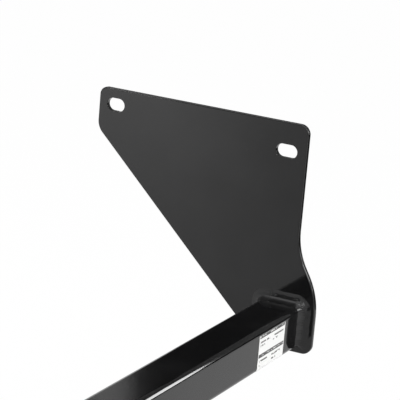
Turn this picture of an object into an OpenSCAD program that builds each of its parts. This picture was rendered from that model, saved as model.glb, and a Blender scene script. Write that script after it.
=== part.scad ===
// Receiver trailer hitch: a square cross tube welded between two slotted side plates,
// with a receiver tube under its middle, a chain plate, and a hitch pin held by a spring clip.
// Millimetres. +X is the vehicle's right, +Y its front, +Z up.
// The origin is the middle of the four mounting slots in the two side plates.

/* [Cross tube] */
// Outside width and height of the square cross tube
tube_size = 50.8; // [44:0.2:64]
// Wall thickness of the cross tube
tube_wall = 4.8; // [3:0.1:6.4]
// Outside corner radius of the cross tube
tube_corner_r = 7; // [6.5:0.1:9]
// Length of the cross tube, from one side plate to the other
tube_len = 1016; // [760:1:1400]

/* [Side plates] */
// Thickness of each side plate
plate_t = 6.35; // [4.5:0.05:10]
// Height of the plate's top edge above the tube's centre line
plate_top_rise = 231.5; // [200:0.5:300]
// Reach of the plate's front edge ahead of the tube's centre line
plate_front_reach = 252.4; // [200:0.1:320]
// Height of the short upright front edge, measured to its sharp corners
plate_front_edge = 48.6; // [44:0.1:70]
// Distance of the plate's upper rear edge behind the tube's centre line
plate_rear_set = 12.8; // [4:0.1:20]
// Plate left standing behind the tube's rear face
plate_rear_margin = 15.9; // [13:0.1:30]
// Plate left standing under the tube
plate_bottom_margin = 6; // [3:0.1:20]
// Distance of the bottom edge's front corner ahead of the tube's front face
plate_toe_margin = 1.6; // [0:0.1:30]
// Height of the middle of the rear edge's flare above the tube's centre line
flare_rise = 62.7; // [60:0.1:90]
// Slope of the flare's straight middle, away from upright, in degrees
flare_angle = 31; // [24:1:38]
// Radius of the hollow bend at the top of the flare, if the flare is long enough for it
flare_top_r = 80; // [40:1:90]
// Radius of the round bend at the foot of the flare, if the flare is long enough for it
flare_foot_r = 90; // [40:1:95]
// Radius of the plate's top front corner
top_front_r = 9; // [3:0.5:14]
// Radius of the plate's top rear corner
top_rear_r = 11.5; // [3:0.5:16]
// Radius of the plate's bottom rear corner
bottom_rear_r = 11.5; // [3:0.5:14]
// Radius of the two blunt corners at the ends of the sloping edge
slope_end_r = 20; // [5:1:24]

/* [Mounting slots] */
// Width of every mounting slot
slot_w = 15.5; // [11:0.1:18]
// End-to-end length of the front slots
front_slot_len = 22.5; // [19:0.1:30]
// End-to-end length of the rear slots
rear_slot_len = 26; // [19:0.1:30]
// Distance of the front slot's centre behind the plate's front edge
front_slot_inset = 21.7; // [20:0.1:30]
// Distance of the front slot's centre below the plate's top edge
front_slot_drop = 18.9; // [16:0.1:30]
// Distance of the rear slot's centre ahead of the plate's upper rear edge
rear_slot_inset = 24.9; // [20:0.1:40]
// Distance of the rear slot's centre below the plate's top edge
rear_slot_drop = 33; // [20:0.1:45]

/* [Receiver] */
// Outside width and height of the square receiver tube
receiver_size = 63.5; // [60:0.1:72]
// Square bore of the receiver tube, for a 50.8 mm shank
receiver_bore = 51.8; // [50:0.1:54]
// Outside corner radius of the receiver tube
receiver_corner_r = 7; // [6.5:0.1:9]
// Inside corner radius of the receiver tube
bore_corner_r = 2; // [1:0.1:4]
// Length of the receiver tube
receiver_len = 240; // [225:1:280]
// Length of receiver tube that stands ahead of the cross tube's front face
receiver_front = 12; // [10:0.5:20]
// Thickness of the collar round the receiver's mouth
collar_t = 9.5; // [7:0.1:12]
// Length of the collar along the receiver
collar_len = 16; // [10:0.5:25]
// Gap all round between the collar and the receiver tube
collar_fit = 0.1; // [0.05:0.05:0.3]

/* [Gussets] */
// Thickness of the two gussets between the cross tube and the receiver
gusset_t = 6.4; // [4:0.1:10]
// Reach of a gusset along the cross tube, from the receiver's side
gusset_w = 70; // [50:1:110]
// Reach of a gusset down the receiver's side, from the cross tube's underside
gusset_h = 50; // [40:0.5:53]
// Length of the blunt edge at each end of a gusset's slope
gusset_land = 10; // [5:0.5:15]
// Radius of the rounded cut in a gusset's inner corner, which clears the weld there
gusset_cope_r = 14.5; // [14:0.1:20]

/* [Chain plate] */
// Thickness of the safety chain plate
chain_t = 9.5; // [6:0.1:12]
// Radius of each chain hole
chain_hole_r = 17.5; // [12:0.1:19]
// Steel left round each chain hole
chain_rim = 10.5; // [7:0.1:11]
// Distance of each chain hole's centre from the middle of the hitch
chain_hole_x = 66; // [62:0.5:90]
// Distance from the hitch pin's axis forward to the chain plate's rear edge
chain_lead = 46.6; // [42:0.1:60]

/* [Hitch pin] */
// Diameter of the hitch pin
pin_d = 15.9; // [12:0.1:16.5]
// Gap all round between the pin and its hole
pin_clearance = 0.25; // [0.1:0.05:0.5]
// Distance of the pin's axis from the receiver's mouth
pin_set = 70; // [68:0.5:76]
// Length of straight pin between the receiver's side and the bend
pin_neck = 6; // [2:0.5:15]
// Bend radius of the pin's centre line
pin_bend_r = 16; // [12:0.5:24]
// Length of the bent handle, from the pin's axis to its tip
pin_handle = 48; // [40:0.5:50]
// Distance of the clip's hole from the receiver's side
clip_hole_set = 12; // [8:0.5:20]
// Length of pin beyond the centre of the clip's hole
pin_tail = 12; // [8:0.5:20]
// Chamfer at the pin's ends
pin_chamfer = 2; // [0.5:0.1:3]

/* [Pin clip] */
// Wire diameter of the clip
wire_d = 3.6; // [2.5:0.1:4.2]
// Gap between the clip and the pin
clip_clearance = 0.3; // [0.2:0.05:0.6]
// Length of the clip's straight leg beyond the far side of the pin
clip_tip = 12; // [6:0.5:16]
// Angle that the wire turns through round the clip's eye
clip_eye_turn = 200; // [190:1:205]
// Bend radius of the clip's eye
clip_eye_r = 8; // [7:0.5:9]
// Bend radius of the dip between the eye and the pin
clip_dip_r = 5; // [4:0.5:6]
// Length of the straight wire between the dip and the bend round the pin
clip_dip_run = 1.5; // [0.5:0.1:3]
// Angle round the pin, from its side, that the clip's outer leg hugs
clip_hug = 35; // [25:1:45]
// Length of the outer leg's straight run past the middle of the pin
clip_past_pin = 5; // [2:0.5:8]
// Radius at which the outer leg's tip turns away from the pin
clip_flare_r = 10; // [5:0.5:15]
// Angle by which the outer leg's tip turns away
clip_flare_turn = 32; // [15:1:45]
// Length of the straight wire at the outer leg's tip
clip_flare_len = 7; // [3:0.5:12]

/* [Welds] */
// Reach of the side plates' welds along the cross tube
plate_weld_tube_leg = 8.5; // [5:0.1:12]
// Reach of the side plates' welds across the plate
plate_weld_plate_leg = 12; // [6:0.1:12.5]
// Angle by which the rear weld wraps under the cross tube's corner
plate_weld_wrap = 35; // [10:1:40]
// Reach of a groove weld across the flat surface
groove_flat_leg = 8; // [5:0.1:9]
// Reach of a groove weld up the rounded tube's side
groove_side_leg = 12; // [10:0.1:12.5]
// Gap at which a groove weld's root ends
weld_root_gap = 0.5; // [0.3:0.1:1]
// Leg of the collar's weld
collar_weld_leg = 6; // [3:0.1:6.5]
// Distance that a chain plate weld stops short of the plate's front and rear edges
chain_weld_inset = 5; // [2:0.5:10]
// Leg of the gussets' welds
gusset_weld_leg = 5; // [3:0.1:6]

/* [Tube label] */
// Length of the blank label along the cross tube
label_len = 67; // [40:0.5:100]
// Thickness of the label
label_t = 0.25; // [0.2:0.05:0.5]
// Distance of the label's near edge from the right side plate
label_set = 44; // [20:0.5:120]
// Angle by which the label wraps under the cross tube's lower rear corner
label_wrap = 35; // [10:1:60]

/* [Hidden] */
$fn = 96;

paint = "#1c1c1e";
weld_paint = "#242427";
zinc = "#b9bcc0";
spring_steel = "#c9ccd0";
label_white = "#f2f2f0";

// Cross tube: half its size, and the half width of its flat faces
tube_half = tube_size / 2;
tube_flat = tube_half - tube_corner_r;

// Side plate edges, in the tube's own Y and Z
plate_rear_y = -(tube_half + plate_rear_margin);
plate_bottom_z = -(tube_half + plate_bottom_margin);
flare_half_rise = (-plate_rear_set - plate_rear_y) / 2 / tan(flare_angle);
flare_max_r = flare_half_rise / cos(flare_angle) / tan(flare_angle / 2);

// Slot centres, in the tube's own Y and Z, and their mean, which is the origin
front_slot = [plate_front_reach - front_slot_inset, plate_top_rise - front_slot_drop];
rear_slot = [rear_slot_inset - plate_rear_set, plate_top_rise - rear_slot_drop];
slot_mean = (front_slot + rear_slot) / 2;

// Receiver: where it lies under the cross tube
receiver_half = receiver_size / 2;
receiver_flat = receiver_half - receiver_corner_r;
receiver_z = -tube_half - receiver_half;
receiver_front_y = tube_half + receiver_front;
mouth_y = receiver_front_y - receiver_len;
receiver_bottom_z = receiver_z - receiver_half;

// Hitch pin: its axis, and the stations along it
pin_y = mouth_y + pin_set;
pin_r = pin_d / 2;
bend_x = receiver_half + pin_neck;
clip_x = -receiver_half - clip_hole_set;
tail_x = clip_x - pin_tail;

// Chain plate: its round ends' radius, and where they lie ahead of the pin
lobe_r = chain_hole_r + chain_rim;
chain_y = pin_y + chain_lead + lobe_r;

// Clip: the circle that its outer leg follows round the pin, and the centre of its dip
wire_r = wire_d / 2;
wire_lap = 0.1;
bend_thinning = 0.02;
hug_r = pin_r + clip_clearance + wire_r;
dip_turn = clip_eye_turn + clip_hug - 180;
dip_centre = (hug_r + clip_dip_r) * [cos(clip_hug), sin(clip_hug)]
    + clip_dip_run * [-sin(clip_hug), cos(clip_hug)];
// The straight wire from the eye to the dip leans in by this angle, and its length brings
// the outer leg to the pin's side; the eye's height follows from it
bridge_lean = clip_eye_turn - 180;
bends = clip_eye_r + clip_dip_r;
bridge_len = (clip_eye_r + bends * cos(bridge_lean) - dip_centre[0]) / sin(bridge_lean);
clip_eye_rise = dip_centre[1] + bends * sin(bridge_lean) + bridge_len * cos(bridge_lean);

// How far a cutting tool runs past the surface that it cuts
past = 1;

function unit(v) = v / norm(v);
// How far a rounded corner's ends lie from the sharp corner
function tangent_len(a, b, c, r) = r * tan(acos(unit(b - a) * unit(c - b)) / 2);
function tangent_in(a, b, c, r) = b - unit(b - a) * tangent_len(a, b, c, r);
function tangent_out(a, b, c, r) = b + unit(c - b) * tangent_len(a, b, c, r);
function turns_left(a, b, c) = cross(b - a, c - b) > 0;
function left_of(v) = [-v[1], v[0]];
function corner_centre(a, b, c, r) =
    tangent_in(a, b, c, r) + left_of(unit(b - a)) * r * (turns_left(a, b, c) ? 1 : -1);

// The slice of a corner's round that lies between its two tangent points
module corner_slice(a, b, c, r) {
    centre = corner_centre(a, b, c, r);
    intersection() {
        translate(centre) circle(r);
        polygon([centre, tangent_in(a, b, c, r), b, tangent_out(a, b, c, r)]);
    }
}

// An outline with true round corners: points run anticlockwise, with one radius for each
module rounded_outline(points, radii) {
    n = len(points);
    difference() {
        union() {
            polygon([for (i = [0:n - 1], end = [0, 1])
                let (a = points[(i + n - 1) % n], b = points[i], c = points[(i + 1) % n])
                end == 0 ? tangent_in(a, b, c, radii[i]) : tangent_out(a, b, c, radii[i])]);
            for (i = [0:n - 1]) {
                a = points[(i + n - 1) % n];
                c = points[(i + 1) % n];
                if (turns_left(a, points[i], c)) corner_slice(a, points[i], c, radii[i]);
            }
        }
        for (i = [0:n - 1]) {
            a = points[(i + n - 1) % n];
            c = points[(i + 1) % n];
            if (!turns_left(a, points[i], c)) corner_slice(a, points[i], c, radii[i]);
        }
    }
}

module rounded_square(size, r) {
    half = size / 2;
    rounded_outline([[-half, -half], [half, -half], [half, half], [-half, half]], [r, r, r, r]);
}

// Everything is drawn about the tube's centre, then moved so that the slots' mean is the origin
module placed() {
    translate([0, -slot_mean[0], -slot_mean[1]]) children();
}

// A drawing in Y and Z, raised along +X from the given X
module side_drawing(x) {
    translate([x, 0, 0]) rotate([90, 0, 90]) children();
}

// A drawing in X and Z, raised along -Y
module rear_drawing() {
    rotate([90, 0, 0]) children();
}

module mirrored_left() {
    mirror([1, 0, 0]) children();
}

module both_faces() {
    children();
    mirror([0, 1, 0]) children();
}

// A fillet weld's section: out along the base, up along the wall
module fillet_section(out, up) {
    polygon([[0, 0], [out, 0], [0, up]]);
}

// A straight fillet on the plane z = 0: its wall stands at mid, and faces the given way
module straight_bead(mid, facing, length, out, up) {
    translate([mid[0], mid[1], 0]) rotate(facing) rotate([90, 0, 0])
        linear_extrude(length, center = true) fillet_section(out, up);
}

// A fillet on the plane z = 0 round a corner of the given radius
module corner_bead(centre, r, from, sweep, out, up) {
    translate([centre[0], centre[1], 0]) rotate(from) rotate_extrude(angle = sweep)
        translate([r, 0]) fillet_section(out, up);
}

// A groove weld's section: a flat lies along y = 0, and a tube with a rounded edge stands on it,
// with its side along x = 0. The root ends where the gap under the rounded edge is too thin.
module groove_section(r, flat_leg, side_leg) {
    root = r - sqrt(2 * r * weld_root_gap - pow(weld_root_gap, 2));
    difference() {
        polygon([[-root, 0], [flat_leg, 0], [0, side_leg], [0, r], [-root, r]]);
        translate([-r, r]) circle(r);
    }
}

module cross_tube() {
    color(paint) placed() side_drawing(-tube_len / 2) linear_extrude(tube_len) difference() {
        rounded_square(tube_size, tube_corner_r);
        rounded_square(tube_size - 2 * tube_wall, tube_corner_r - tube_wall);
    }
}

// The side plate's outline in Y and Z: flared out at the rear to take in the tube's end
module plate_outline() {
    rounded_outline([
        [tube_half + plate_toe_margin, plate_bottom_z],
        [plate_front_reach, plate_top_rise - plate_front_edge],
        [plate_front_reach, plate_top_rise],
        [-plate_rear_set, plate_top_rise],
        [-plate_rear_set, flare_rise + flare_half_rise],
        [plate_rear_y, flare_rise - flare_half_rise],
        [plate_rear_y, plate_bottom_z]
    ], [slope_end_r, slope_end_r, top_front_r, top_rear_r,
        min(flare_top_r, flare_max_r), min(flare_foot_r, flare_max_r), bottom_rear_r]);
}

module slot_outline(centre, length) {
    run = length - slot_w;
    translate(centre) {
        square([run, slot_w], center = true);
        for (side = [-1, 1]) translate([side * run / 2, 0]) circle(slot_w / 2);
    }
}

module side_plate() {
    color(paint) placed() side_drawing(tube_len / 2) linear_extrude(plate_t) difference() {
        plate_outline();
        slot_outline(front_slot, front_slot_len);
        slot_outline(rear_slot, rear_slot_len);
    }
}

// The weld runs down the tube's rear face, over its top and down its front face
module plate_weld() {
    out = plate_weld_plate_leg;
    up = plate_weld_tube_leg;
    color(weld_paint) placed() side_drawing(tube_len / 2) mirror([0, 0, 1]) {
        straight_bead([0, tube_half], 90, 2 * tube_flat, out, up);
        straight_bead([-tube_half, 0], 180, 2 * tube_flat, out, up);
        straight_bead([tube_half, 0], 0, 2 * tube_flat, out, up);
        corner_bead([tube_flat, tube_flat], tube_corner_r, 0, 90, out, up);
        corner_bead([-tube_flat, tube_flat], tube_corner_r, 90, 90, out, up);
        corner_bead([-tube_flat, -tube_flat], tube_corner_r, 180, plate_weld_wrap, out, up);
    }
}

module receiver_tube() {
    color(paint) placed() difference() {
        translate([0, receiver_front_y, receiver_z]) rear_drawing()
            linear_extrude(receiver_len) difference() {
                rounded_square(receiver_size, receiver_corner_r);
                rounded_square(receiver_bore, bore_corner_r);
            }
        translate([-receiver_half - past, pin_y, receiver_z]) rotate([0, 90, 0])
            cylinder(r = pin_r + pin_clearance, h = receiver_size + 2 * past);
    }
}

module receiver_collar() {
    inside = receiver_size + 2 * collar_fit;
    color(paint) placed() translate([0, mouth_y + collar_len, receiver_z]) rear_drawing()
        linear_extrude(collar_len) difference() {
            rounded_square(inside + 2 * collar_t, receiver_corner_r + collar_fit + collar_t);
            rounded_square(inside, receiver_corner_r + collar_fit);
        }
}

// The bead behind the collar, all the way round the receiver
module collar_weld() {
    leg = collar_weld_leg;
    color(weld_paint) placed() translate([0, mouth_y + collar_len, receiver_z]) rotate([-90, 0, 0])
        for (turn = [0:90:270]) rotate(turn) {
            straight_bead([receiver_half, 0], 0, 2 * receiver_flat, leg, leg);
            corner_bead([receiver_flat, receiver_flat], receiver_corner_r, 0, 90, leg, leg);
        }
}

// Along the cross tube's lower front edge, on the receiver's flat top
module front_saddle_weld() {
    color(weld_paint) placed() side_drawing(0) translate([tube_half, -tube_half])
        linear_extrude(2 * receiver_flat, center = true)
            groove_section(tube_corner_r, groove_flat_leg, groove_side_leg);
}

// The same along the lower rear edge
module rear_saddle_weld() {
    color(weld_paint) placed() side_drawing(0) mirror([1, 0, 0]) translate([tube_half, -tube_half])
        linear_extrude(2 * receiver_flat, center = true)
            groove_section(tube_corner_r, groove_flat_leg, groove_side_leg);
}

// Along the receiver's upper edge, on the cross tube's flat underside
module side_saddle_weld() {
    color(weld_paint) placed() translate([receiver_half, 0, -tube_half]) rear_drawing() mirror([0, 1, 0])
        linear_extrude(2 * tube_flat, center = true)
            groove_section(receiver_corner_r, groove_flat_leg, groove_side_leg);
}

module gusset() {
    color(paint) placed() translate([receiver_half, 0, -tube_half]) rear_drawing()
        linear_extrude(gusset_t, center = true) difference() {
            polygon([[0, 0], [0, -gusset_h], [gusset_land, -gusset_h],
                [gusset_w, -gusset_land], [gusset_w, 0]]);
            circle(gusset_cope_r);
        }
}

// Four short fillets: on both faces of the gusset, along the cross tube and down the receiver
module gusset_welds() {
    leg = gusset_weld_leg;
    along_tube = gusset_w - gusset_cope_r;
    down_receiver = gusset_h - gusset_cope_r;
    color(weld_paint) placed() translate([receiver_half, 0, -tube_half]) both_faces()
        translate([0, gusset_t / 2, 0]) {
            translate([gusset_cope_r, 0, 0]) rotate([90, 0, 90]) linear_extrude(along_tube)
                mirror([0, 1]) fillet_section(leg, leg);
            translate([0, 0, -gusset_cope_r]) mirror([0, 0, 1]) linear_extrude(down_receiver)
                fillet_section(leg, leg);
        }
}

module chain_plate() {
    color(paint) placed() translate([0, chain_y, receiver_bottom_z - chain_t])
        linear_extrude(chain_t) difference() {
            union() {
                square([2 * chain_hole_x, 2 * lobe_r], center = true);
                for (side = [-1, 1]) translate([side * chain_hole_x, 0]) circle(lobe_r);
            }
            for (side = [-1, 1]) translate([side * chain_hole_x, 0]) circle(chain_hole_r);
        }
}

// Along the receiver's lower edge, on the chain plate's top
module chain_weld() {
    color(weld_paint) placed() translate([receiver_half, chain_y, receiver_bottom_z]) rear_drawing()
        linear_extrude(2 * (lobe_r - chain_weld_inset), center = true)
            groove_section(receiver_corner_r, groove_flat_leg, groove_side_leg);
}

// A thin sheet on the cross tube's rear face, wrapped a little under its lower corner
module tube_label() {
    color(label_white) placed() side_drawing(tube_len / 2 - label_set - label_len) {
        linear_extrude(label_len) translate([-tube_half - label_t, -tube_flat])
            square([label_t, 2 * tube_flat]);
        translate([-tube_flat, -tube_flat, 0]) rotate(180) rotate_extrude(angle = label_wrap)
            translate([tube_corner_r, 0]) square([label_t, label_len]);
    }
}

// A straight bar with its handle bent down, drilled across its tail for the clip
module hitch_pin() {
    color(zinc) placed() translate([0, pin_y, receiver_z]) difference() {
        union() {
            translate([tail_x + pin_chamfer, 0, 0]) rotate([0, 90, 0])
                cylinder(r = pin_r, h = bend_x - tail_x - pin_chamfer);
            translate([tail_x, 0, 0]) rotate([0, 90, 0])
                cylinder(r1 = pin_r - pin_chamfer, r2 = pin_r, h = pin_chamfer);
            translate([bend_x, 0, -pin_bend_r]) rotate([90, 0, 0]) rotate_extrude(angle = 90)
                translate([pin_bend_r, 0]) circle(pin_r);
            translate([bend_x + pin_bend_r, 0, pin_chamfer - pin_handle])
                cylinder(r = pin_r, h = pin_handle - pin_bend_r - pin_chamfer);
            translate([bend_x + pin_bend_r, 0, -pin_handle])
                cylinder(r1 = pin_r - pin_chamfer, r2 = pin_r, h = pin_chamfer);
        }
        translate([clip_x, 0, -pin_r - past])
            cylinder(r = wire_r + clip_clearance, h = pin_d + 2 * past);
    }
}

// A straight run of wire along +X, which carries what comes next at its end. It reaches a
// little way into the bends beside it, whose wire is a hair thinner, so that they join cleanly.
module wire_run(length) {
    translate([-wire_lap, 0, 0]) rotate([0, 90, 0]) cylinder(r = wire_r, h = length + 2 * wire_lap);
    translate([length, 0, 0]) children();
}

// A bend of wire that starts along +X and turns left, or right where turn is negative
module wire_bend(r, turn) {
    left = turn > 0 ? 1 : -1;
    translate([0, left * r, 0]) {
        rotate(-90 * left) rotate_extrude(angle = turn)
            translate([r, 0]) circle(wire_r - bend_thinning);
        rotate(turn) translate([0, -left * r, 0]) children();
    }
}

// The clip in its own plane, about the pin: up the straight leg, round the eye, back down
// to the dip, round the pin's side and out at the tip
module clip_drawing() {
    translate([0, -pin_r - clip_tip, 0]) rotate(90) wire_run(pin_r + clip_tip + clip_eye_rise)
        wire_bend(clip_eye_r, -clip_eye_turn) wire_run(bridge_len)
        wire_bend(clip_dip_r, dip_turn) wire_run(clip_dip_run)
        wire_bend(hug_r, -clip_hug) wire_run(clip_past_pin)
        wire_bend(clip_flare_r, clip_flare_turn) wire_run(clip_flare_len);
}

module pin_clip() {
    color(spring_steel) placed() side_drawing(clip_x) translate([pin_y, receiver_z]) clip_drawing();
}

cross_tube();
side_plate();  // right_side_plate
mirrored_left() side_plate();  // left_side_plate
plate_weld();  // right_plate_weld
mirrored_left() plate_weld();  // left_plate_weld
receiver_tube();
receiver_collar();
collar_weld();
front_saddle_weld();
rear_saddle_weld();
side_saddle_weld();  // right_saddle_weld
mirrored_left() side_saddle_weld();  // left_saddle_weld
gusset();  // right_gusset
mirrored_left() gusset();  // left_gusset
gusset_welds();  // right_gusset_welds
mirrored_left() gusset_welds();  // left_gusset_welds
chain_plate();
chain_weld();  // right_chain_weld
mirrored_left() chain_weld();  // left_chain_weld
tube_label();
hitch_pin();
pin_clip();
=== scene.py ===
"""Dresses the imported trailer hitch: paint, weld beads, label, pin and clip, in a small studio."""

import math

import bmesh
import bpy
from bpy.props import FloatProperty, FloatVectorProperty, IntProperty, PointerProperty
from mathutils import Matrix, Vector


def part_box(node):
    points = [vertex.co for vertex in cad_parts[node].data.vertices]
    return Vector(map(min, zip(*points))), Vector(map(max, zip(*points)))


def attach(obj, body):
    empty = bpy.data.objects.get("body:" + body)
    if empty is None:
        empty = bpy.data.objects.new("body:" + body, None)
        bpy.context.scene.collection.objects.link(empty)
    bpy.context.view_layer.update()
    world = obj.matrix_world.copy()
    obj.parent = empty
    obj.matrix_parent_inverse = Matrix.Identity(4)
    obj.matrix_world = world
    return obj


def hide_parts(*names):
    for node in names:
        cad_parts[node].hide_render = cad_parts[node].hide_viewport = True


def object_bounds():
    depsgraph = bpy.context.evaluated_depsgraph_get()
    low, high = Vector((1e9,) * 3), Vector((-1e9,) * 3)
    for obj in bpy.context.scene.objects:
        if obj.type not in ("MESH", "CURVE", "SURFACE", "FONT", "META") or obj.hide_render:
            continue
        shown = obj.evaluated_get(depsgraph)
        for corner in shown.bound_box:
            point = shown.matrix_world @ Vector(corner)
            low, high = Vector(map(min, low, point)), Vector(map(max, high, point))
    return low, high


bl_info = {
    "name": "Receiver Hitch Finish",
    "version": (1, 0, 0),
    "blender": (4, 5, 0),
    "location": "View3D > Sidebar > Hitch",
    "description": "Paint, weld beads, label, pin and studio for a receiver hitch",
    "category": "Object",
}

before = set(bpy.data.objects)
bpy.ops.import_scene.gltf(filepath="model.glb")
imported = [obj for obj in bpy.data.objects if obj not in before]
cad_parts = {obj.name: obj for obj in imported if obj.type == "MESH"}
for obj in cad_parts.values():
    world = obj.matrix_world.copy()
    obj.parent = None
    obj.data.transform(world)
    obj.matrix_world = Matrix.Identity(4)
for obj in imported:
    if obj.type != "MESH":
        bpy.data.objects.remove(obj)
CAD_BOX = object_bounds()

MM = 0.001
X, Y, Z = Vector((1, 0, 0)), Vector((0, 1, 0)), Vector((0, 0, 1))
QUARTER_TURN = math.radians(90)

TUBE_LOW, TUBE_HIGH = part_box("cross_tube")
TUBE_MID = (TUBE_LOW + TUBE_HIGH) / 2
TUBE_HALF = (TUBE_HIGH.z - TUBE_LOW.z) / 2
TUBE_CORNER = 7 * MM
RECEIVER_LOW, RECEIVER_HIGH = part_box("receiver_tube")
RECEIVER_HALF = (RECEIVER_HIGH.x - RECEIVER_LOW.x) / 2
RECEIVER_MID_Z = (RECEIVER_LOW.z + RECEIVER_HIGH.z) / 2
RECEIVER_CORNER = 7 * MM
LABEL_LOW, LABEL_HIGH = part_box("tube_label")

BODY = "hitch"
PAINTED = {
    "cross_tube": "tube",
    "right_side_plate": "plate",
    "left_side_plate": "plate",
    "receiver_tube": "tube",
    "receiver_collar": "plate",
    "right_gusset": "plate",
    "left_gusset": "plate",
    "chain_plate": "plate",
}

# How the CAD facets are joined up, and which of their edges count as cut ones
SAME_POINT = 0.002 * MM
SAME_FLAT = math.radians(0.3)
CUT_ANGLE = math.radians(32)
HOLE_GIRTH = 100 * MM
ROUNDING_STEPS = 3
PIN_ROUNDING_STEPS = 2

# Black paint: its darkest and lightest patches, how much their gloss differs, and its dust
PAINT_TONES = 0.8, 1.25
GLOSS_SWING = 0.06
DUST_COVER = 0.3
DUST_TONE = 4.0
DUST_ROUGHNESS = 0.1

# Paint over a bead: its patches, its lumps, and where in Y it turns duller towards the front
BEAD_TONES = 0.8, 1.4
BEAD_LUMPS = 0.16 * MM
DULL_FROM, DULL_TO = -0.115, -0.105
DULL_ROUGHNESS = 0.2

# Zinc: its patches, how far the drawn lines are stretched, and how deep they are
ZINC_TONES = 0.82, 1.12
LINE_STRETCH = 0.04
LINE_DEPTH = 0.01 * MM
LINE_SWING, PATCH_SWING = 0.12, 0.1

# Label film: its roughness, how much that varies, and its grain
FILM_ROUGHNESS = 0.42
FILM_SWING = 0.1
FILM_GRAIN = 0.004 * MM

# The label's print, in mm down from its top and in shares of its length
BANDS = ((0.2, 3.6, 1.0, 2.0), (22.0, 26.2, 23.6, 24.6))
BAND_ENDS = 0.02, 0.98
BAR_BLOCKS = (
    ((7.4, 0.42, 0.94), (11.5, 0.23, 0.73)),
    ((29.2, 0.36, 0.86), (34.2, 0.2, 0.7)),
)
BAR_HEIGHT = 1.9
BAR_COLUMNS = 0.06, 0.53
CELLS_ALONG = 24
CELL_HEIGHT = 3
BAR_GAPS, BAND_GAPS = 0.25, 0.6
BAR_INK, BAND_INK = 0.9, 0.97

# Weld legs, outward along the base and up the wall, and the knees that shape their faces
PLATE_LEGS = 11.4 * MM, 10.2 * MM
COLLAR_LEGS = 5.6 * MM, 5.6 * MM
SADDLE_LEGS = 7.6 * MM, 11.4 * MM
PLATE_KNEE = 0.25, 0.2
EVEN_KNEE = 0.4, 0.4
GUSSET_FILL = 0.94
GUSSET_COPE = 14.5 * MM
SADDLE_ROOT = 8 * MM
PLATE_WRAP = math.radians(35)
MID_FACE = 4 * MM
BEAD_CREASE = math.radians(60)

FLOOR_RADIUS = 12
FLOOR_GAP = 1 * MM
FLOOR_SHADE = 0.8
FLOOR_SEEN = 0.98
FLOOR_ROUGHNESS = 0.9
WORLD_LIGHT = 0.38

# Mirrors show the floor white under the hitch, from a rear line to a front one that slants
WHITE_REAR = -0.5, -0.35
WHITE_FRONT = -0.25, 0.09
WHITE_SLANT, WHITE_SHIFT = 0.47, 0.24

# A lamp that points down more steeply than this has no side of its own, and takes X
STEEP = 0.99

SENSOR = 36
FRAME_PIXELS = 400
FAR_CLIP = 50


class HitchPaint(bpy.types.PropertyGroup):
    """The black paint, and how far the steel's cut edges are rounded under it"""

    colour: FloatVectorProperty(
        name="Paint", description="Colour of the black paint", subtype="COLOR", size=3,
        min=0, max=1, default=(0.005, 0.005, 0.0052))
    roughness: FloatProperty(
        name="Roughness", description="Roughness of the paint", min=0.02, max=1, default=0.07)
    index: FloatProperty(
        name="Index", description="Refractive index of the paint", min=1.3, max=1.8, default=1.45)
    peel: FloatProperty(
        name="Orange peel", description="Height of the paint's fine waves", unit="LENGTH",
        min=0, default=0.016 * MM)
    plate_edge: FloatProperty(
        name="Plate edge", description="Rounding of the plates' cut edges", unit="LENGTH",
        min=0.0002, default=1.4 * MM)
    hole_edge: FloatProperty(
        name="Hole edge", description="Rounding of the edges round slots and holes", unit="LENGTH",
        min=0.0002, default=0.4 * MM)
    tube_edge: FloatProperty(
        name="Tube edge", description="Rounding of the tubes' sawn ends", unit="LENGTH",
        min=0.0002, default=0.6 * MM)


class HitchWelds(bpy.types.PropertyGroup):
    """The weld beads"""

    pitch: FloatProperty(
        name="Ripple pitch", description="Length of bead from one ripple to the next",
        unit="LENGTH", min=0.001, default=3.0 * MM)
    ripple: FloatProperty(
        name="Ripple height", description="Height of each ripple", unit="LENGTH",
        min=0, default=0.06 * MM)
    tightness: FloatProperty(
        name="Tightness", description="How sharply the bead's face turns at its knee",
        min=0.5, max=6, default=3.0)
    crown: FloatProperty(
        name="Crown", description="How far the middle of the bead's face stands up",
        unit="LENGTH", min=0, default=0.12 * MM)
    wander: FloatProperty(
        name="Wander", description="How far the bead's toes wander along its length",
        unit="LENGTH", min=0, default=0.3 * MM)
    step: FloatProperty(
        name="Step", description="Length of bead between two rings of the mesh",
        unit="LENGTH", min=0.0002, default=0.43 * MM)


class HitchLabel(bpy.types.PropertyGroup):
    """The blank label on the cross tube"""

    film: FloatVectorProperty(
        name="Film", description="Colour of the label's film", subtype="COLOR", size=3,
        min=0, max=1, default=(0.84, 0.84, 0.83))
    ink: FloatVectorProperty(
        name="Ink", description="Colour of the plain bars on the label", subtype="COLOR", size=3,
        min=0, max=1, default=(0.03, 0.03, 0.03))
    rows: IntProperty(
        name="Rows", description="Rows of short grey bars under each band", min=0, max=2, default=2)


class HitchPin(bpy.types.PropertyGroup):
    """The hitch pin and its clip"""

    zinc: FloatVectorProperty(
        name="Zinc", description="Colour of the zinc plating", subtype="COLOR", size=3,
        min=0, max=1, default=(0.6, 0.61, 0.63))
    edge: FloatProperty(
        name="Edge", description="Rounding of the pin's edges", unit="LENGTH",
        min=0.0001, default=0.4 * MM)


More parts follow.
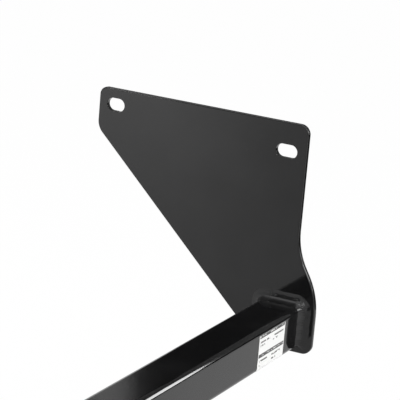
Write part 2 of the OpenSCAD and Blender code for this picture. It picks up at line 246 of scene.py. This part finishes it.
class HitchStudio(bpy.types.PropertyGroup):
    """The camera and the floor"""

    azimuth: FloatProperty(
        name="Azimuth", description="Direction of the view round the hitch", subtype="ANGLE",
        default=math.radians(-64.66))
    elevation: FloatProperty(
        name="Elevation", description="Height of the view above level", subtype="ANGLE",
        default=math.radians(15.33))
    roll: FloatProperty(
        name="Roll", description="Roll of the camera", subtype="ANGLE",
        default=math.radians(4.99))
    distance: FloatProperty(
        name="Distance", description="Distance of the camera from the right plate",
        unit="LENGTH", default=2.476866)
    right: FloatProperty(
        name="Right", description="How far the tube's end lies right of the picture's middle",
        unit="LENGTH", default=0.089905)
    down: FloatProperty(
        name="Down", description="How far the tube's end lies below the picture's middle",
        unit="LENGTH", default=0.138121)
    lens: FloatProperty(
        name="Lens", description="Focal length on a 36 mm wide sensor, in mm",
        default=196.29)
    floor: FloatVectorProperty(
        name="Floor", description="Colour of the floor", subtype="COLOR", size=3,
        min=0, max=1, default=(0.88, 0.88, 0.88))


class Value:
    """A value in a node tree, so that shader maths reads as an expression"""

    def __init__(self, graph, output):
        self.graph = graph
        self.output = output

    def math(self, operation, *others):
        return self.graph.node(
            "ShaderNodeMath", {"operation": operation}, dict(enumerate((self, *others))))

    def __add__(self, other):
        return self.math("ADD", other)

    __radd__ = __add__

    def __mul__(self, other):
        return self.math("MULTIPLY", other)

    __rmul__ = __mul__

    def __sub__(self, other):
        return self.math("SUBTRACT", other)

    def __rsub__(self, other):
        return self * -1 + other

    def __truediv__(self, other):
        return self.math("DIVIDE", other)

    def either(self, other):
        """The larger of two masks"""
        return self.math("MAXIMUM", other)

    def above(self, edge):
        return self.math("GREATER_THAN", edge)

    def between(self, low, high):
        return self.above(low) * self.math("LESS_THAN", high)

    def whole(self):
        return self.math("FLOOR")

    def ramp(self, low, high, start=0.0, end=1.0):
        """This value, taken smoothly from start to end as it goes from low to high"""
        return self.graph.node(
            "ShaderNodeMapRange", {"interpolation_type": "SMOOTHSTEP"},
            {"Value": self, "From Min": low, "From Max": high, "To Min": start, "To Max": end})


class Graph:
    """A node tree"""

    def __init__(self, tree):
        self.tree = tree

    def plug(self, socket, value):
        if isinstance(value, Value):
            self.tree.links.new(value.output, socket)
        else:
            socket.default_value = value

    def node(self, kind, settings=None, inputs=None, output=0):
        made = self.tree.nodes.new(kind)
        for key, value in (settings or {}).items():
            setattr(made, key, value)
        for key, value in (inputs or {}).items():
            self.plug(made.inputs[key], value)
        return Value(self, made.outputs[output])

    def ray(self, kind):
        """1 for a ray of the given kind, and 0 for any other"""
        return self.node("ShaderNodeLightPath", output=f"Is {kind} Ray")

    def coordinates(self):
        return self.node("ShaderNodeTexCoord", output="Object")

    def along(self, coordinates):
        """X, Y and Z of a vector"""
        return [
            self.node("ShaderNodeSeparateXYZ", None, {0: coordinates}, axis) for axis in range(3)]

    def noise(self, coordinates, scale, detail=2.0):
        return self.node(
            "ShaderNodeTexNoise", None, {"Vector": coordinates, "Scale": scale, "Detail": detail})

    def mix(self, factor, a, b):
        return self.node(
            "ShaderNodeMix", {"data_type": "RGBA"}, {"Factor": factor, 6: a, 7: b}, output=2)

    def bump(self, height, distance):
        return self.node(
            "ShaderNodeBump", None, {"Strength": 1.0, "Distance": distance, "Height": height})


class MaterialGraph(Graph):
    """The node tree of a new material"""

    def __init__(self, name):
        self.material = bpy.data.materials.new(name)
        self.material.use_nodes = True
        super().__init__(self.material.node_tree)
        self.shader = self.tree.nodes["Principled BSDF"]
        self.surface = self.tree.nodes["Material Output"].inputs["Surface"]

    def finish(self, **values):
        """Sets the shader's own sockets, named with _ for a space"""
        for key, value in values.items():
            self.plug(self.shader.inputs[key.replace("_", " ")], value)
        return self.material


def colour(rgb, gain=1.0):
    return (*[min(1.0, c * gain) for c in rgb], 1.0)


def tones(rgb, gains):
    return [colour(rgb, gain) for gain in gains]


def grey(level):
    return level, level, level, 1.0


def paint_material(name, paint):
    """Glossy black paint: fine orange peel, slow changes of gloss, and a little dust"""
    graph = MaterialGraph(name)
    place = graph.coordinates()
    cloud = graph.noise(place, scale=14, detail=3)
    fine = graph.noise(place, scale=420)
    dust = graph.noise(place, scale=900, detail=1).ramp(0.72, 0.8)
    tone = graph.mix(cloud.ramp(0.35, 0.65), *tones(paint.colour, PAINT_TONES))
    return graph.finish(
        Base_Color=graph.mix(dust * DUST_COVER, tone, colour(paint.colour, DUST_TONE)),
        Roughness=paint.roughness + (cloud - 0.5) * GLOSS_SWING + dust * DUST_ROUGHNESS,
        IOR=paint.index,
        Normal=graph.bump(fine, paint.peel))


def bead_material(name, paint):
    """The same paint over a weld bead, rougher and lumpier, and duller on the hitch's front side"""
    graph = MaterialGraph(name)
    place = graph.coordinates()
    _, y, _ = graph.along(place)
    lumps = graph.noise(place, scale=260)
    cloud = graph.noise(place, scale=60)
    dull = y.ramp(DULL_FROM, DULL_TO) * DULL_ROUGHNESS
    return graph.finish(
        Base_Color=graph.mix(cloud, *tones(paint.colour, BEAD_TONES)),
        Roughness=paint.roughness * 2 + (cloud - 0.5) * GLOSS_SWING + dull,
        IOR=paint.index,
        Normal=graph.bump(lumps, BEAD_LUMPS))


def zinc_material(name, zinc, axis, roughness):
    """Bright zinc plating with faint drawn lines along the given axis"""
    graph = MaterialGraph(name)
    place = graph.coordinates()
    stretch = [1.0, 1.0, 1.0]
    stretch[axis] = LINE_STRETCH
    drawn = graph.node(
        "ShaderNodeMapping", {"vector_type": "POINT"}, {"Vector": place, "Scale": stretch})
    lines = graph.noise(drawn, scale=1500)
    cloud = graph.noise(place, scale=90, detail=3)
    return graph.finish(
        Base_Color=graph.mix(cloud, *tones(zinc, ZINC_TONES)),
        Metallic=1.0,
        Roughness=roughness + (lines - 0.5) * LINE_SWING + (cloud - 0.5) * PATCH_SWING,
        Normal=graph.bump(lines, LINE_DEPTH))


def label_material(name, label):
    """White film with plain bars: two dark bands, and rows of short grey bars in two columns"""
    graph = MaterialGraph(name)
    place = graph.coordinates()
    x, _, z = graph.along(place)
    across = (x - LABEL_LOW.x) / (LABEL_HIGH.x - LABEL_LOW.x)
    down = (LABEL_HIGH.z - z) / MM
    cells = graph.node("ShaderNodeTexWhiteNoise", {"noise_dimensions": "2D"}, {
        "Vector": graph.node("ShaderNodeCombineXYZ", None, {
            0: (across * CELLS_ALONG).whole(), 1: (down / CELL_HEIGHT).whole()})})
    bands = 0
    for top, bottom, gap_top, gap_bottom in BANDS:
        gap = down.between(gap_top, gap_bottom) * cells.above(BAND_GAPS)
        bands = down.between(top, bottom) - gap + bands
    bars = 0
    for block in BAR_BLOCKS:
        for top, *ends in block[:label.rows]:
            left, right = (across.between(*reach) for reach in zip(BAR_COLUMNS, ends))
            bars = down.between(top, top + BAR_HEIGHT) * (left + right) + bars
    grain = graph.noise(place, scale=1200)
    ink = graph.mix(
        bars * cells.above(BAR_GAPS) * BAR_INK, colour(label.film), colour(label.ink))
    ink = graph.mix(bands * across.between(*BAND_ENDS) * BAND_INK, ink, colour(label.ink))
    return graph.finish(
        Base_Color=ink,
        Roughness=FILM_ROUGHNESS + (grain - 0.5) * FILM_SWING,
        Normal=graph.bump(grain, FILM_GRAIN))


def sort_by_points(bm):
    """Puts edges and faces in one order each run, which extrude and bevel don't"""
    bm.verts.index_update()
    for parts in (bm.edges, bm.faces):
        ranked = sorted(parts, key=lambda part: sorted(v.index for v in part.verts))
        for index, part in enumerate(ranked):
            part.index = index
        parts.sort()


def make_object(name, bm):
    """Makes a bmesh into an object of the scene"""
    sort_by_points(bm)
    mesh = bpy.data.meshes.new(name)
    bm.to_mesh(mesh)
    bm.free()
    made = bpy.data.objects.new(name, mesh)
    bpy.context.scene.collection.objects.link(made)
    return made


def add_piece(name, bm, body, material, node):
    """Makes a bmesh into a smooth-shaded piece that rides on a body and stands for a CAD node"""
    piece = make_object(name, bm)
    piece.data.shade_smooth()
    piece.data.materials.append(material)
    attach(piece, body)
    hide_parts(node)
    return piece


def dress(node, ending, body, material, rounding=()):
    """Stands a finished copy of a CAD node in its place, with its cut edges rounded if asked"""
    bm = merged_copy(node)
    if rounding:
        round_edges(bm, *rounding)
    piece = add_piece(f"{node}_{ending}", bm, body, material, node)
    # Weighted normals shade the flats flat and the small roundings smooth
    modifier = piece.modifiers.new("flats", "WEIGHTED_NORMAL")
    modifier.keep_sharp = True
    modifier.weight = 100


def merged_copy(node):
    """A CAD node's facets, joined up and with the flats made whole"""
    bm = bmesh.new()
    bm.from_mesh(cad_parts[node].data)
    bmesh.ops.remove_doubles(bm, verts=bm.verts, dist=SAME_POINT)
    bmesh.ops.dissolve_limit(
        bm, angle_limit=SAME_FLAT, verts=bm.verts, edges=bm.edges, use_dissolve_boundaries=False)
    return bm


def sharp_edges(bm, angle):
    return [e for e in bm.edges if e.is_manifold and e.calc_face_angle() > angle]


def edge_chains(edges):
    """Sharp edges sorted into chains that meet end to end, in the same order each run"""
    left, chains = dict.fromkeys(edges), []
    while left:
        chain, ahead = [], [left.popitem()[0]]
        while ahead:
            edge = ahead.pop()
            chain.append(edge)
            for near in (e for v in edge.verts for e in v.link_edges):
                if near in left:
                    del left[near]
                    ahead.append(near)
        chains.append(chain)
    return chains


def ring_edges(bm, verts):
    """The edges of a closed ring of points, in its order"""
    return [bm.edges.get((verts[i - 1], verts[i])) for i in range(len(verts))]


def round_edges(bm, width, hole_width, steps=ROUNDING_STEPS):
    """Rounds every sharp edge, and those round a small hole less"""
    chains = edge_chains(sharp_edges(bm, CUT_ANGLE))
    holes = [c for c in chains if sum(e.calc_length() for e in c) < HOLE_GIRTH]
    outsides = [c for c in chains if c not in holes]
    for picked, offset in ((holes, hole_width), (outsides, width)):
        bmesh.ops.bevel(
            bm, geom=[e for chain in picked for e in chain], offset=offset, offset_type="OFFSET",
            affect="EDGES", segments=steps, profile=0.5, material=-1, loop_slide=False)


class Bead:
    """A rippled weld bead, swept along stations of root, out along the base, up the wall, dwell"""

    FACE_POINTS = 13
    ROOT_DEPTH = 0.4 * MM

    # An open end starts at a share of the full size, and grows over a crater's length
    CRATER = 3.5 * MM
    END_SHARE = 0.55

    # The two waves that each toe follows: share, and mm of bead for a turn of one radian
    SLOW_WAVE = 0.6, 3.7
    QUICK_WAVE = 0.4, 1.9
    QUICK_START = 2.1
    TOE_SHIFT = 1.7

    # How far a ripple's middle bows ahead of its ends, and how the ripples' spacing drifts
    RIPPLE_BOW = 1.4 * MM
    DRIFT, DRIFT_LENGTH = 0.11, 5

    # How much more crown and ripple a corner has where the welder dwells
    DWELL_CROWN = 9
    DWELL_RIPPLE = 7

    def __init__(self, look, legs, knee, seed):
        self.look = look
        self.out_leg, self.up_leg = legs
        self.knee = knee
        self.seed = seed

    def wander(self, at, shift):
        """A slow, repeatable wave along the bead"""
        slow, slow_length = self.SLOW_WAVE
        quick, quick_length = self.QUICK_WAVE
        return self.look.wander * (
            slow * math.sin(at / MM / slow_length + self.seed + shift)
            + quick * math.sin(at / MM / quick_length + self.QUICK_START * self.seed))

    def size(self, at, length):
        """The share of its full size that an open bead has at one place"""
        inside = max(0.0, min(at, length - at))
        return min(1.0, self.END_SHARE + (1 - self.END_SHARE) * math.sqrt(inside / self.CRATER))

    def section(self, station, at, length, closed):
        """The ring of points round the bead at one station"""
        root, out, up, dwell = station
        size = 1.0 if closed else self.size(at, length)
        out_toe = out * (self.out_leg * size + self.wander(at, 0))
        up_toe = up * (self.up_leg * size + self.wander(at, self.TOE_SHIFT))
        knee = out_toe * self.knee[0] + up_toe * self.knee[1]
        face = (out * self.up_leg + up * self.out_leg).normalized()
        crown = self.look.crown * (1 + self.DWELL_CROWN * dwell)
        ripple = self.look.ripple * (1 + self.DWELL_RIPPLE * dwell)
        drift = self.DRIFT * math.sin(at / MM / self.DRIFT_LENGTH + self.seed)
        ring = [root - (out + up) * self.ROOT_DEPTH]
        for i in range(self.FACE_POINTS):
            t = i / (self.FACE_POINTS - 1)
            dome = math.sin(math.pi * t) ** 2
            phase = (at + self.RIPPLE_BOW * dome) / self.look.pitch + drift
            wave = 0.5 + 0.5 * math.cos(2 * math.pi * phase)
            lift = (crown + ripple * wave) * dome * size
            shares = (1 - t) ** 2, 2 * self.look.tightness * t * (1 - t), t ** 2
            flat = out_toe * shares[0] + knee * shares[1] + up_toe * shares[2]
            ring.append(root + flat / sum(shares) + face * lift)
        return ring

    def marks(self, stations):
        """How far along the middle of the bead each station lies"""
        middles = [root + (out + up) * self.out_leg / 3 for root, out, up, _ in stations]
        marks = [0.0]
        for a, b in zip(middles, middles[1:]):
            marks.append(marks[-1] + (b - a).length)
        return marks

    def lay(self, bm, stations, closed=False):
        """Sweeps the section along the stations with one extrusion for each"""
        marks = self.marks(stations)
        length = marks[-1]
        if closed:
            ripples = max(1, round(length / self.look.pitch))
            marks = [m * ripples * self.look.pitch / length for m in marks]
        rings = [self.section(s, m, length, closed) for s, m in zip(stations, marks)]
        start = verts = [bm.verts.new(p) for p in rings[0]]
        first = bm.faces.new(verts)
        for ring in rings[1:-1] if closed else rings[1:]:
            made = bmesh.ops.extrude_edge_only(bm, edges=ring_edges(bm, verts))["geom"]
            new = [g for g in made if isinstance(g, bmesh.types.BMVert)]
            verts = [
                next(e.other_vert(v) for e in v.link_edges if e.other_vert(v) in new)
                for v in verts]
            for vert, point in zip(verts, ring):
                vert.co = point
        if closed:
            bm.faces.remove(first)
            bmesh.ops.bridge_loops(bm, edges=ring_edges(bm, verts) + ring_edges(bm, start))
        else:
            bm.faces.new(verts[::-1])


def straight(start, end, out, up, step):
    """Stations along a straight root"""
    count = max(2, round((end - start).length / step))
    return [(start.lerp(end, i / count), out, up, 0.0) for i in range(count + 1)]


def corner(centre, radius, first, last, up, step, dwell=0.0):
    """Stations round a square outside corner, where the bead may dwell and stand fuller"""
    count = max(4, round(QUARTER_TURN * (radius + MID_FACE) / step))
    stations = []
    for i in range(1, count):
        turn = QUARTER_TURN * i / count
        out = first * math.cos(turn) + last * math.sin(turn)
        stations.append((centre + radius * out, out, up, dwell * math.sin(math.pi * i / count)))
    return stations


def plate_bead_path(side, step):
    """Up the tube's rear face from under its corner, over the top and down the front"""
    wall = X * -side
    flat = TUBE_HALF - TUBE_CORNER
    middle = Vector(((TUBE_HIGH if side > 0 else TUBE_LOW).x, TUBE_MID.y, TUBE_MID.z))
    low_rear = middle - (Y + Z) * flat
    top_rear = middle + (Z - Y) * flat
    top_front = middle + (Y + Z) * flat
    low_front = top_front - Z * 2 * flat

    def over(start, end, out):
        return straight(start + out * TUBE_CORNER, end + out * TUBE_CORNER, out, wall, step)

    under = corner(low_rear, TUBE_CORNER, -Z, -Y, wall, step)
    return (
        under[round(len(under) * (1 - PLATE_WRAP / QUARTER_TURN)):]
        + over(low_rear, top_rear, -Y)
        + corner(top_rear, TUBE_CORNER, -Y, Z, wall, step, dwell=1.0)
        + over(top_rear, top_front, Z)
        + corner(top_front, TUBE_CORNER, Z, Y, wall, step)
        + over(top_front, low_front, Y))


def collar_bead_path(step):
    """Once round the receiver, against the collar's front face"""
    flat = RECEIVER_HALF - RECEIVER_CORNER
    centre = Vector((0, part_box("receiver_collar")[1].y, RECEIVER_MID_Z))
    path = []
    for out, onward in ((X, Z), (Z, -X), (-X, -Z), (-Z, X)):
        mid = centre + out * RECEIVER_HALF
        path += straight(mid - onward * flat, mid + onward * flat, out, Y, step)
        path += corner(centre + (out + onward) * flat, RECEIVER_CORNER, out, onward, Y, step)
    return path + path[:1]


class HITCH_OT_paint_steel(bpy.types.Operator):
    """Round the cut edges of the steel and paint it black"""

    bl_idname = "hitch.paint_steel"
    bl_label = "Paint steel"

    def execute(self, context):
        paint = context.scene.hitch_paint
        material = paint_material("black_paint", paint)
        edges = {"plate": paint.plate_edge, "tube": paint.tube_edge}
        for node, stock in PAINTED.items():
            dress(
                node, "painted", BODY, material,
                rounding=(edges[stock], paint.hole_edge))
        return {"FINISHED"}


class HITCH_OT_lay_welds(bpy.types.Operator):
    """Lay a rippled bead in place of each plain weld"""

    bl_idname = "hitch.lay_welds"
    bl_label = "Lay welds"

    def execute(self, context):
        look = context.scene.hitch_welds
        step = look.step
        material = bead_material("painted_bead", context.scene.hitch_paint)

        def weld(node, legs, paths, knee=EVEN_KNEE, closed=False):
            bm = bmesh.new()
            for i, path in enumerate(paths):
                Bead(look, legs, knee, len(node) + i).lay(bm, path, closed)
            bmesh.ops.recalc_face_normals(bm, faces=bm.faces)
            for edge in sharp_edges(bm, BEAD_CREASE):
                edge.smooth = False
            add_piece(node + "_bead", bm, BODY, material, node)

        for side, word in ((1, "right"), (-1, "left")):
            weld(f"{word}_plate_weld", PLATE_LEGS, [plate_bead_path(side, step)], PLATE_KNEE)
        weld("collar_weld", COLLAR_LEGS, [collar_bead_path(step)], closed=True)
        self.lay_saddle(weld, step)
        self.lay_gussets(weld, step)
        return {"FINISHED"}

    def lay_saddle(self, weld, step):
        """The beads between cross tube and receiver, and those on the chain plate"""
        for node, out, up in (
                ("front_saddle_weld", Y, Z), ("rear_saddle_weld", -Y, Z),
                ("right_saddle_weld", X, -Z), ("left_saddle_weld", -X, -Z),
                ("right_chain_weld", X, Z), ("left_chain_weld", -X, Z)):
            low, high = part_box(node)
            toe = high if sum(out) > 0 else low
            root = (low + high) / 2
            if out.y:
                run, reach = X, high.x - low.x
                root.y = toe.y - out.y * SADDLE_ROOT
            else:
                run, reach = Y, high.y - low.y
                root.x = toe.x - out.x * SADDLE_ROOT
            root.z = high.z if up.z < 0 else low.z
            half = run * reach / 2
            weld(node, SADDLE_LEGS, [straight(root - half, root + half, out, up, step)])

    def lay_gussets(self, weld, step):
        """Two beads on each face of each gusset"""
        for side, word in ((1, "right"), (-1, "left")):
            low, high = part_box(f"{word}_gusset")
            beads_low, beads_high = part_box(f"{word}_gusset_welds")
            leg = (beads_high.y - high.y) * GUSSET_FILL
            inner, outer = beads_low.x, beads_high.x
            if side < 0:
                inner, outer = outer, inner
            paths = []
            for face, y in ((-1, low.y), (1, high.y)):
                paths.append(straight(
                    Vector((inner + side * GUSSET_COPE, y, high.z)), Vector((outer, y, high.z)),
                    Y * face, -Z, step))
                paths.append(straight(
                    Vector((inner, y, high.z - GUSSET_COPE)), Vector((inner, y, low.z)),
                    Y * face, X * side, step))
            weld(f"{word}_gusset_welds", (leg, leg), paths)


class HITCH_OT_stick_label(bpy.types.Operator):
    """Put the blank label on the tube's rear face"""

    bl_idname = "hitch.stick_label"
    bl_label = "Stick label"

    def execute(self, context):
        material = label_material("label_film", context.scene.hitch_label)
        dress("tube_label", "film", BODY, material)
        return {"FINISHED"}


class HITCH_OT_fit_pin(bpy.types.Operator):
    """Plate the hitch pin and its clip with zinc"""

    bl_idname = "hitch.fit_pin"
    bl_label = "Fit pin and clip"

    def execute(self, context):
        look = context.scene.hitch_pin
        dress(
            "hitch_pin", "plated", "pin",
            zinc_material("bright_zinc", look.zinc, axis=0, roughness=0.28),
            rounding=(look.edge, look.edge, PIN_ROUNDING_STEPS))
        dress(
            "pin_clip", "wire", "clip",
            zinc_material("clip_zinc", look.zinc, axis=2, roughness=0.22))
        return {"FINISHED"}


class HITCH_OT_set_studio(bpy.types.Operator):
    """Set the floor, the lights and the camera"""

    bl_idname = "hitch.set_studio"
    bl_label = "Set studio"

    def execute(self, context):
        look = context.scene.hitch_studio
        self.lay_floor(look)
        self.light_world(context.scene)
        self.stand_cards()
        self.hang_lamps()
        self.set_camera(context.scene, look)
        context.scene.view_settings.view_transform = "Standard"
        return {"FINISHED"}

    def lay_floor(self, look):
        """Pale paper, white to the lens and, under the hitch alone, white in mirrors"""
        bm = bmesh.new()
        bmesh.ops.create_circle(bm, cap_ends=True, segments=96, radius=FLOOR_RADIUS)
        bmesh.ops.translate(bm, verts=bm.verts, vec=(0, 0, CAD_BOX[0][2] - FLOOR_GAP))
        floor = make_object("studio_floor", bm)
        graph = MaterialGraph("floor_paper")
        x, y, _ = graph.along(graph.coordinates())
        front = y + x * WHITE_SLANT - WHITE_SHIFT
        under = front.ramp(*WHITE_FRONT, 1.0, 0.0) * y.ramp(*WHITE_REAR)
        direct = graph.ray("Camera").either(graph.ray("Transmission"))
        seen = (direct * FLOOR_SEEN).either(graph.ray("Glossy") * under)
        strength = direct * (1 - FLOOR_SHADE) + FLOOR_SHADE
        graph.finish(Base_Color=colour(look.floor), Roughness=FLOOR_ROUGHNESS)
        paper = Value(graph, graph.shader.outputs[0])
        glow = graph.node("ShaderNodeEmission", None, {"Color": grey(1), "Strength": strength})
        graph.plug(
            graph.surface, graph.node("ShaderNodeMixShader", None, {0: seen, 1: paper, 2: glow}))
        floor.data.materials.append(graph.material)

    def light_world(self, scene):
        """White to the lens, in mirrors and through glass, and dimmer as a light"""
        world = bpy.data.worlds.new("studio_world")
        world.use_nodes = True
        graph = Graph(world.node_tree)
        background = graph.tree.nodes["Background"]
        seen = graph.ray("Camera").either(graph.ray("Glossy")).either(graph.ray("Transmission"))
        graph.plug(background.inputs["Color"], grey(1))
        graph.plug(background.inputs["Strength"], seen.ramp(0.0, 1.0, WORLD_LIGHT, 1.0))
        scene.world = world

    def stand_cards(self):
        """Four dark cards and a bright one, there only to be mirrored in the paint"""
        floor = CAD_BOX[0][2]
        self.card("flag_black", (1.0, -1.4, floor), (0.75, 0, 0), (0, 1.0, 0), tone=0.01)
        self.card("flag_low", (1.72, -1.45, floor), (0, 0.85, 0), (0, 0, 0.19), tone=0.01)
        self.card("flag_right", (1.75, -1.4, floor), (0, 2.2, 0), (0, 0, 1.3), tone=0.2)
        self.card("flag_left", (-2.4, 0.6, 0.6), (0.9, 1.9, 0), (0, 0, 3.9), tone=0.15)
        self.card(
            "glow_left", (-1.4773, 1.0802, 0.6603), (0.1295, 0.1524, 0),
            (0.0693, -0.0589, 0.2329), glow=15)

    def card(self, name, corner, along, across, tone=0, glow=0):
        """A flat card from a corner, along one side and across another"""
        bm = bmesh.new()
        start = bm.verts.new(corner)
        edge = bmesh.ops.extrude_vert_indiv(bm, verts=[start])
        bmesh.ops.translate(bm, verts=edge["verts"], vec=along)
        face = bmesh.ops.extrude_edge_only(bm, edges=edge["edges"])["geom"]
        far = [g for g in face if isinstance(g, bmesh.types.BMVert)]
        bmesh.ops.translate(bm, verts=far, vec=across)
        made = make_object(name, bm)
        for kind in ("camera", "diffuse", "transmission", "shadow"):
            setattr(made, f"visible_{kind}", False)
        made.data.materials.append(MaterialGraph(name).finish(
            Base_Color=grey(tone), Roughness=1.0, Specular_IOR_Level=0.0,
            Emission_Color=grey(1), Emission_Strength=glow))

    def hang_lamps(self):
        """Wide ones behind, overhead and at the front left, and smaller ones right and rear left"""
        self.hang(
            "softbox_behind", (0.54, -1.72, 0.62), aim=(0.4, -0.12, -0.15),
            size=(1.5, 0.3), radiance=8)
        self.hang(
            "softbox_over", (0.0, 0.0, 2.2), aim=(0.0, 0.0, 0.0), size=(3.0, 3.0), radiance=0.7)
        self.hang(
            "softbox_left", (-1.112, 1.426, 0.8), aim=(0.508, 0.05, -0.03),
            size=(1.0, 0.8), radiance=15, mirrored=False)
        self.hang(
            "softbox_right", (1.47, -0.982, 0.176), aim=(0.2, -0.982, 0.176),
            size=(0.35, 0.58), radiance=10, turn=18)
        self.hang(
            "softbox_small", (-0.99, -0.93, 0.9), aim=(0.508, -0.147, -0.18),
            size=(0.25, 0.25), radiance=30)

    def hang(self, name, place, aim, size, radiance, turn=0, mirrored=True):
        """A soft lamp of the given radiance that faces a point, turned by degrees on its axis"""
        lamp = bpy.data.lights.new(name, "AREA")
        lamp.shape = "RECTANGLE"
        lamp.size, lamp.size_y = size
        lamp.energy = radiance * math.pi * size[0] * size[1]
        holder = bpy.data.objects.new(name, lamp)
        place = Vector(place)
        back = (place - Vector(aim)).normalized()
        if turn:
            side = Vector((0, -math.cos(math.radians(turn)), math.sin(math.radians(turn))))
        else:
            side = Z.cross(back) if abs(back.z) < STEEP else X
        side = side.normalized()
        self.aim(holder, place, side, back.cross(side), back)
        holder.visible_camera = False
        holder.visible_glossy = mirrored
        bpy.context.scene.collection.objects.link(holder)

    def set_camera(self, scene, look):
        """The photo's camera, level at first and then rolled, with the tube's end off centre"""
        back = Vector((
            math.sin(look.azimuth) * math.cos(look.elevation),
            -math.cos(look.azimuth) * math.cos(look.elevation),
            math.sin(look.elevation)))
        level_right = (-back).cross(Z).normalized()
        level_up = level_right.cross(-back)
        right = math.cos(look.roll) * level_right + math.sin(look.roll) * level_up
        up = math.cos(look.roll) * level_up - math.sin(look.roll) * level_right
        tube_end = Vector((TUBE_HIGH.x, TUBE_MID.y, TUBE_MID.z))
        eye = tube_end + back * look.distance - right * look.right + up * look.down
        data = bpy.data.cameras.new("photo_camera")
        data.sensor_width = SENSOR
        data.lens = look.lens
        half_pixel = 0.5 / FRAME_PIXELS
        data.shift_x = -half_pixel
        data.shift_y = half_pixel
        data.clip_end = FAR_CLIP
        camera = bpy.data.objects.new("photo_camera", data)
        self.aim(camera, eye, right, up, back)
        scene.collection.objects.link(camera)
        scene.camera = camera

    def aim(self, holder, place, right, up, back):
        """Stands a lamp or camera at a place, with its own axes along three directions"""
        axes = Matrix((right, up, back)).transposed().to_4x4()
        holder.matrix_world = Matrix.Translation(place) @ axes


OPERATORS = (
    HITCH_OT_paint_steel,
    HITCH_OT_lay_welds,
    HITCH_OT_stick_label,
    HITCH_OT_fit_pin,
    HITCH_OT_set_studio,
)


class HITCH_PT_finish(bpy.types.Panel):
    """Buttons for each step of the hitch's finish"""

    bl_idname = "HITCH_PT_finish"
    bl_label = "Hitch finish"
    bl_space_type = "VIEW_3D"
    bl_region_type = "UI"
    bl_category = "Hitch"

    def draw(self, context):
        for operator in OPERATORS:
            self.layout.operator(operator.bl_idname)


GROUPS = {
    "hitch_paint": HitchPaint,
    "hitch_welds": HitchWelds,
    "hitch_label": HitchLabel,
    "hitch_pin": HitchPin,
    "hitch_studio": HitchStudio,
}
CLASSES = (*GROUPS.values(), *OPERATORS, HITCH_PT_finish)


def register():
    for made in CLASSES:
        bpy.utils.register_class(made)
    for name, group in GROUPS.items():
        setattr(bpy.types.Scene, name, PointerProperty(type=group))


def unregister():
    for name in GROUPS:
        delattr(bpy.types.Scene, name)
    for made in reversed(CLASSES):
        bpy.utils.unregister_class(made)


def main():
    register()
    for operator in OPERATORS:
        area, name = operator.bl_idname.split(".")
        getattr(getattr(bpy.ops, area), name)()


if __name__ == "__main__":
    main()
